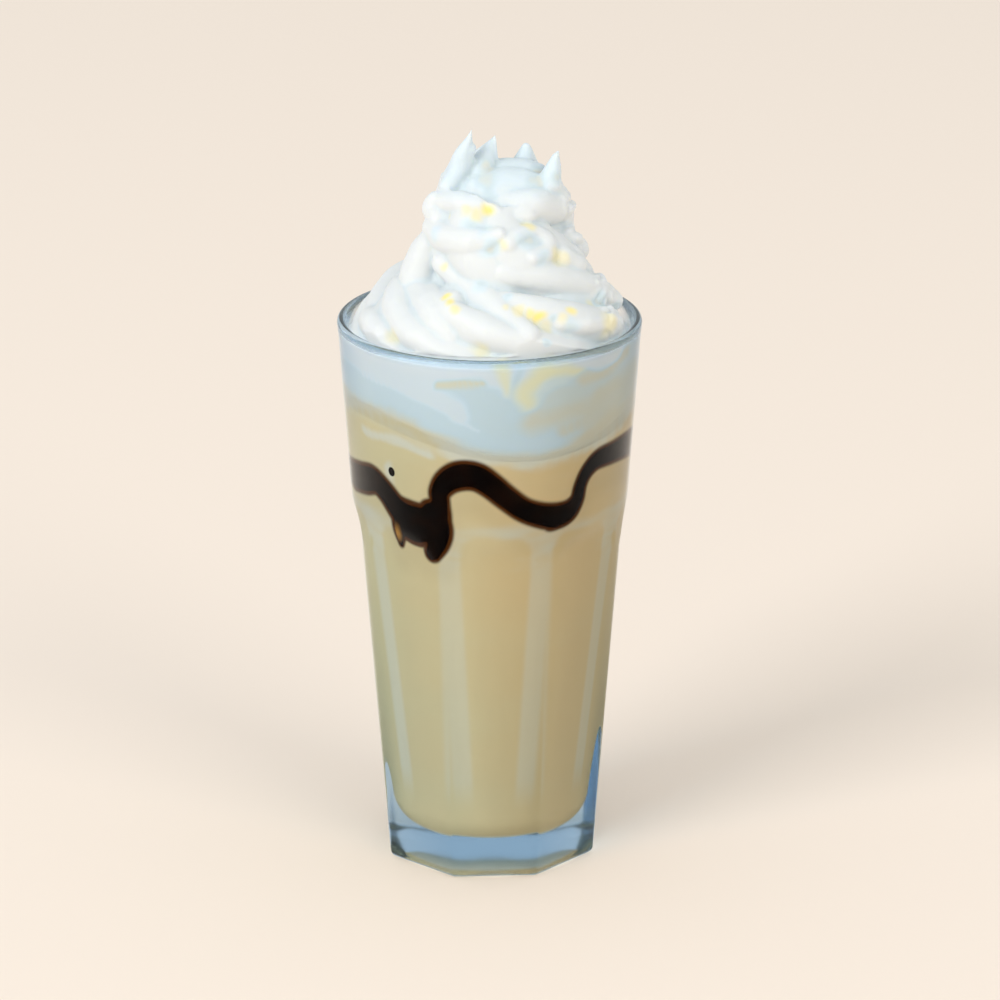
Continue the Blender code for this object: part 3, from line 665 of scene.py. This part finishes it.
# Painted warm light: yellow flecks in the folds, standing in for light that the cream passes on there: x, y, z and
# radius in mm, and how yellow.
FLECKS = (
    (-0.7, -15.2, 199.1, 2.6, 0.95), (-3.8, -16.4, 198.3, 2.6, 0.5), (-6.6, -15.6, 199.0, 2.0, 0.4),
    (-12.3, -27.4, 177.4, 2.0, 0.95), (-11.4, -30.5, 176.3, 2.0, 0.9), (-9.7, -32.9, 175.3, 2.0, 0.6),
    (13.7, -32.7, 172.5, 2.6, 1.0), (11.5, -32.8, 173.4, 2.0, 0.8), (8.4, -32.7, 174.6, 2.0, 0.5),
    (5.3, -32.5, 175.7, 1.5, 0.4), (23.1, -29.0, 173.4, 2.0, 0.8), (20.8, -31.5, 171.6, 2.3, 0.4),
    (16.0, -32.4, 169.8, 2.3, 0.35), (-27.1, -26.2, 164.9, 2.9, 0.35), (-13.2, -17.9, 183.4, 1.5, 0.5),
    (-16.9, -11.7, 186.9, 1.5, 0.3), (-11.2, -12.2, 196.5, 1.2, 0.4), (11.2, -17.0, 194.9, 2.3, 0.6),
    (3.8, -23.4, 191.2, 2.0, 0.45), (20.6, -17.2, 185.5, 2.9, 0.4), (33.1, -22.0, 165.3, 3.5, 0.35),
    (28.4, -16.4, 171.9, 1.8, 0.3), (20, 16, 186, 3.5, 0.6), (-6, 24, 178, 3.5, 0.7), (28, 12, 170, 3.5, 0.4),
    (-20, 22, 172, 3.5, 0.5), (18.6, -17.4, 186.2, 2.8, 0.45), (34.6, -21.5, 167.3, 4.5, 0.45),
    (-2.4, -37.6, 164.6, 3.5, 0.35),
)
# Where the cream tore as the nozzle pulled away: x, y, z and radius in mm.
TORN = ((34, -10, 171, 8), (36, -16, 166, 8), (31, -8, 176, 6), (25, -3, 186, 7), (23, 0, 197, 6), (14, 20, 180, 9))
# Painted shade: spots where the cream is painted greyer: x, y, z and radius in mm, and how grey.
SHADE_SPOTS = (
    (-1.0, -1.8, 208.3, 4.0, 0.32), (-1.0, -6.2, 205.1, 4.0, 0.3), (-0.1, -8.2, 202.4, 3.0, 0.2),
    (14.7, 1.1, 206.2, 3.4, 0.28), (13.3, -5.1, 204.8, 4.0, 0.28), (19.5, -4.9, 205.6, 3.0, 0.25),
    (-5.4, -18.3, 195.9, 3.8, 0.32), (-1.5, -20.4, 194.8, 3.2, 0.25), (1.2, -22.8, 190.4, 3.4, 0.38),
    (-1.0, -23.0, 188.7, 2.8, 0.25), (9.8, -21.0, 191.7, 4.2, 0.36), (12.3, -19.1, 191.7, 3.2, 0.3),
    (15.0, -21.9, 186.7, 3.2, 0.3), (-3.2, -25.6, 179.5, 3.0, 0.25), (4.7, -29.0, 177.9, 2.6, 0.35),
    (17.7, -31.9, 172.0, 1.8, 0.4), (16.2, -37.2, 166.5, 1.8, 0.4), (31.7, -13.5, 171.7, 3.8, 0.4),
    (36.3, -6.2, 167.6, 3.0, 0.4), (23.6, -30.7, 169.2, 3.4, 0.25), (-15.5, -15.2, 192.6, 3.4, 0.22),
)
PLUG_TOP = 159 * MM
PLUG_SLOPE = 0.1  # it's higher at the front
PLUG_REACH = RIM_RADIUS + 1 * MM
CREAM_VOXEL = 0.55 * MM
FREE_FROM = 152  # mm, the height from which the glass no longer smooths it
OFF_WALL = 1.3 * MM  # how far it stands off the glass where it rounds off below the rim
OFF_WALL_FROM = 160  # mm
BUMPS = ((9, 4, 0.55), (3.5, 5, 0.16))  # size in mm, seed and height in mm
HOLLOW_DEPTHS = {9: 0.35, 59: 1.8}  # smoothing passes, and how deep in mm a full hollow then lies
# painted shade: how much greyer the hollows and the crown are painted
HOLLOW_SHADE = 0.12
CROWN_SHADE = 0.22


def rope_path(count):
    shares, coil, height, radius = np.array(ROPE_STATIONS).T
    t = np.linspace(0, 1, count)
    kernel = np.hanning(count // 8 * 2 + 1)
    kernel /= kernel.sum()
    smooth = []
    for values in (coil, height, radius):
        padded = np.pad(np.interp(t, shares, values), len(kernel) // 2, mode="reflect", reflect_type="odd")
        smooth.append(np.convolve(padded, kernel, mode="valid") * MM)
    coil, height, radius = smooth
    angle = ROPE_END + 2 * math.pi * ROPE_TURNS * (1 - t)
    axis = CREAM_FOOT + (CREAM_TIP - CREAM_FOOT) * t[:, None]
    return axis + place(angle, coil, height), radius


def along_path(path, first_side):
    """Unit vectors along a path and two across it that don't spin round it, worked out from its end."""
    ahead = np.gradient(path, axis=0)
    ahead /= np.linalg.norm(ahead, axis=1)[:, None]
    sides = [first_side]
    for direction in ahead[::-1]:
        side = sides[-1] - direction * np.dot(sides[-1], direction)
        sides.append(side / np.linalg.norm(side))
    sides = np.array(sides[:0:-1])
    return ahead, sides, np.cross(ahead, sides)


def rope_rings(count, around):
    path, radius = rope_path(count)
    ahead, sides, others = along_path(path, np.cross(np.gradient(path, axis=0)[-1], (0.0, 1.0, 0.0)))
    angle = np.linspace(0, 2 * math.pi, around, endpoint=False)
    rib = np.abs(np.cos(ROPE_RIBS * angle / 2))
    made = []
    for k in range(count):
        twist = -2 * math.pi * RIB_TWIST * (1 - k / (count - 1)) ** 1.5
        sagged = max(0.0, 1 - abs(k / (count - 1) - SAG_AT) / SAG_REACH)
        depth = RIB_DEPTH * (1 - SAG_FLATTENS * smooth_step(sagged))
        reach = radius[k] * (1 - depth + depth * rib)
        a = angle + twist
        made.append(path[k] + np.outer(reach * np.cos(a), sides[k]) + np.outer(reach * np.sin(a), others[k]))
    number = np.round(ROPE_RIBS * angle / (2 * math.pi)).astype(int) % ROPE_RIBS
    rise, lean, sharpness = np.array(CROWN_POINTS)[number].T
    lean = 0.85 + (lean - 0.85) * rib**2
    point = rib**sharpness
    end, out = path[-1], made[-1] - path[-1]
    for share in np.linspace(0, 1, 14)[1:]:
        lift = np.interp(share, (0, 0.45, 1.0), (0, 0.5, 1.0)) * rise * MM * point
        made.append(end + out * (1 + (lean - 1) * share)[:, None] + np.outer(lift, ahead[-1]))
    made.append(end + out * (1 + (lean - 1) * 1.35)[:, None] + np.outer(0.4 * rise * MM * point, ahead[-1]))
    made.append(end + out * 0.2 - 2 * MM * ahead[-1])
    return made


def lobe_rings(stops):
    """A round-ended fold of cream along x, y, z stops with a radius at each."""
    stops = np.array(stops, float) * MM
    t = np.linspace(0, len(stops) - 1, 6 * len(stops))
    smooth = np.stack([np.interp(t, np.arange(len(stops)), column) for column in stops.T], 1)
    padded = np.vstack([smooth[:1].repeat(4, 0), smooth, smooth[-1:].repeat(4, 0)])
    window = np.hanning(11)[1:-1] / np.hanning(11)[1:-1].sum()
    smooth = np.stack([np.convolve(column, window, mode="valid") for column in padded.T], 1)
    ahead, sides, others = along_path(smooth[:, :3], np.array((0.3, 0.5, 0.8)))
    angle = np.linspace(0, 2 * math.pi, 24, endpoint=False)
    ends = [(0, -1, bulge) for bulge in (0.97, 0.8, 0.5)], [(-1, 1, bulge) for bulge in (0.5, 0.8, 0.97)]
    steps = ends[0] + [(k, 0, 0.0) for k in range(len(t))] + ends[1]
    made = []
    for k, way, bulge in steps:
        radius = smooth[k, 3] * math.sqrt(1 - bulge**2)
        middle = smooth[k, :3] + ahead[k] * way * bulge * smooth[k, 3]
        made.append(middle + np.outer(np.cos(angle), sides[k] * radius) + np.outer(np.sin(angle), others[k] * radius))
    return made


swirl = skin("swirl", rope_rings(520, 168))
plug_rings = []
for share in (0.02, 0.2, 0.4, 0.6, 0.8, 0.95, 1.0):
    plug_rings.append(place(azimuths, share * PLUG_REACH, boundary_height(azimuths, share) - 0.3 * MM))
for share in (1.0, 0.95, 0.6, 0.2, 0.02):
    level = place(azimuths, share * PLUG_REACH, PLUG_TOP)
    level[:, 2] -= PLUG_SLOPE * level[:, 1]
    plug_rings.append(level)
plug = skin("plug", plug_rings)
folds = [skin("fold", lobe_rings(stops)) for stops in FOLDS]
cream = fused("whipped_cream_swirl", [swirl, plug, *folds], CREAM_VOXEL, 4)

# Soft bumps all over it, and ragged ones where it tore.
points = points_of(cream)
bumps = sum(noise_at(points, size, seed) * high for size, seed, high in BUMPS)
torn = np.zeros(len(points))
for *spot, radius in TORN:
    torn = np.maximum(torn, near(points / MM, spot, radius, 0.3))
bumps += torn * (np.abs(noise_at(points, 3.2, 9)) * 1.8 + noise_at(points, 1.5, 10) * 0.3)
normals = np.empty(len(points) * 3)
cream.data.vertices.foreach_get("normal", normals)
free = smooth_step((points[:, 2] / MM - FREE_FROM) / 6)
points += normals.reshape(-1, 3) * (bumps * free * MM)[:, None]

# Inside the glass it wets the wall.
radius = np.hypot(points[:, 0], points[:, 1])
inside = points[:, 2] < GLASS_HEIGHT + 8 * MM
off_wall = smooth_step((points[:, 2] / MM - OFF_WALL_FROM) / 2) * OFF_WALL
limit = cavity_radius(points[:, 2]) + TOUCH - off_wall
touching = inside & (radius > limit)
points[touching, :2] *= (limit / radius)[touching, None]
set_points(cream, points)

# Its colour: streaks by the wall, and white above it, with painted shade in the hollows, over the crown and in spots,
# and yellow flecks of painted warm light.
white, yellowness = np.ones(len(points)), np.zeros(len(points))
wall = inside & (radius > limit - 1.5 * MM)
white[wall], yellowness[wall] = wall_streaks(points[wall])
blend = smooth_step((points[wall, 2] / MM - 158) / 5)
white[wall] += (1 - white[wall]) * blend
edges = np.empty(len(cream.data.edges) * 2, np.int32)
cream.data.edges.foreach_get("vertices", edges)
edges = edges.reshape(-1, 2)
neighbours = np.bincount(edges.ravel(), minlength=len(points))[:, None]
smoothed, hollow = points.copy(), np.zeros(len(points))
normals = np.empty(len(points) * 3)
cream.data.vertices.foreach_get("normal", normals)
normals = normals.reshape(-1, 3)
for step in range(max(HOLLOW_DEPTHS) + 1):  # the hollows are where a smoothed skin lies outside the real one
    total = np.zeros_like(points)
    for axis in range(3):
        total[:, axis] = np.bincount(edges[:, 0], smoothed[edges[:, 1], axis], len(points))
        total[:, axis] += np.bincount(edges[:, 1], smoothed[edges[:, 0], axis], len(points))
    smoothed = total / neighbours
    if step in HOLLOW_DEPTHS:
        hollow += ((smoothed - points) * normals).sum(1) / MM / HOLLOW_DEPTHS[step]
hollow = smooth_step(hollow) * free
warped = points / MM + np.stack([noise_at(points, 4, seed) for seed in (6, 7, 8)], 1) * 1.2
# Painted warm light: the flecks turn the cream yellow.
for *spot, radius, yellow_share in FLECKS:
    yellowness = np.maximum(yellowness, yellow_share * near(warped, spot, radius, 0.2))
# Painted shade in the hollows and over the crown.
white -= HOLLOW_SHADE * hollow + CROWN_SHADE * smooth_step((points[:, 2] / MM - 199) / 8)
# Painted shade, spot by spot.
for *spot, radius, grey in SHADE_SPOTS:
    white -= grey * near(warped, spot, radius, 0.1)
store(cream, "white", white)
store(cream, "yellowness", yellowness)

# Whipped cream: fat and air in fine bubbles. Light goes in and comes out again, so shadows are soft and
# bluish, and ridges glow.
whipped_cream, tree, shader = new_material("whipped_cream")
colour = drink_colour(tree)
tree.links.new(colour, shader.inputs["Base Color"])
shader.inputs["Roughness"].default_value = 0.45
shader.inputs["IOR"].default_value = 1.36
shader.inputs["Specular IOR Level"].default_value = 0.3
shader.inputs["Subsurface Weight"].default_value = 0.6
shader.inputs["Subsurface Radius"].default_value = (1.0, 1.0, 1.2)
shader.inputs["Subsurface Scale"].default_value = 2.5 * MM
where = node(tree, "ShaderNodeTexCoord").outputs["Object"]
grain = node(tree, "ShaderNodeTexNoise", Vector=where, Scale=1000 / 1.2, Detail=3.0).outputs["Fac"]
bump = node(tree, "ShaderNodeBump", Strength=0.25, Distance=0.15 * MM, Height=grain)
tree.links.new(bump.outputs[0], shader.inputs["Normal"])
cream.data.materials.append(whipped_cream)
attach(cream, "root")
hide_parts("whipped_cream")


# ---- Studio ----
# A pale seamless table, lit by a large soft box from the front left and a dimmer one from the right.

FLOOR_COLOUR = "#F8E9DB"
FLOOR = -0.02 * MM
FLOOR_HALF = 6.0
UNDER_FOOT_PAINTED_LIGHT = 0.4
DRINK_MIDDLE = (0, 0, 0.12)

floor_mesh = bpy.data.meshes.new("floor")
corners = [(x * FLOOR_HALF, y * FLOOR_HALF, FLOOR) for x, y in ((-1, -1), (1, -1), (1, 1), (-1, 1))]
floor_mesh.from_pydata(corners, [], [(0, 1, 2, 3)])
floor = bpy.data.objects.new("floor", floor_mesh)
bpy.context.scene.collection.objects.link(floor)
paper, tree, shader = new_material("backdrop_paper")
shader.inputs["Base Color"].default_value = linear(FLOOR_COLOUR)
shader.inputs["Roughness"].default_value = 0.9
shader.inputs["Specular IOR Level"].default_value = 0.1
# Painted light: the paper under the foot glows a little, standing in for the light that the thick foot gathers there,
# and it shows through the foot alone.
where = node(tree, "ShaderNodeTexCoord").outputs["Object"]
from_axis = node(tree, "ShaderNodeVectorMath", {"operation": "LENGTH"}, _0=where).outputs["Value"]
painted_foot_light = node(tree, "ShaderNodeMapRange", Value=from_axis, _1=30 * MM, _2=27 * MM, _4=UNDER_FOOT_PAINTED_LIGHT)
shader.inputs["Emission Color"].default_value = linear(FLOOR_COLOUR)
tree.links.new(painted_foot_light.outputs[0], shader.inputs["Emission Strength"])
floor_mesh.materials.append(paper)


def soft_box(name, place_at, size, power, colour):
    """A square soft light that faces the drink."""
    data = bpy.data.lights.new(name, "AREA")
    data.shape = "SQUARE"
    data.size = size
    data.energy = power
    data.color = linear(colour)[:3]
    lamp = bpy.data.objects.new(name, data)
    lamp.location = place_at
    lamp.visible_transmission = False  # so that its square doesn't show through the foot
    lamp.rotation_euler = (Vector(place_at) - Vector(DRINK_MIDDLE)).to_track_quat("Z", "Y").to_euler()
    bpy.context.scene.collection.objects.link(lamp)


soft_box("key_light", (-3.3, -3.2, 2.8), 2.3, 142, "#FFFFFF")
soft_box("fill_light", (3.0, -3.4, 2.6), 2.4, 68, "#FFFAF2")

world = bpy.data.worlds.new("studio")
world.use_nodes = True
world.node_tree.nodes["Background"].inputs["Color"].default_value = linear("#EFF4F6")
world.node_tree.nodes["Background"].inputs["Strength"].default_value = 0.775
bpy.context.scene.world = world
bpy.context.scene.view_settings.view_transform = "Standard"
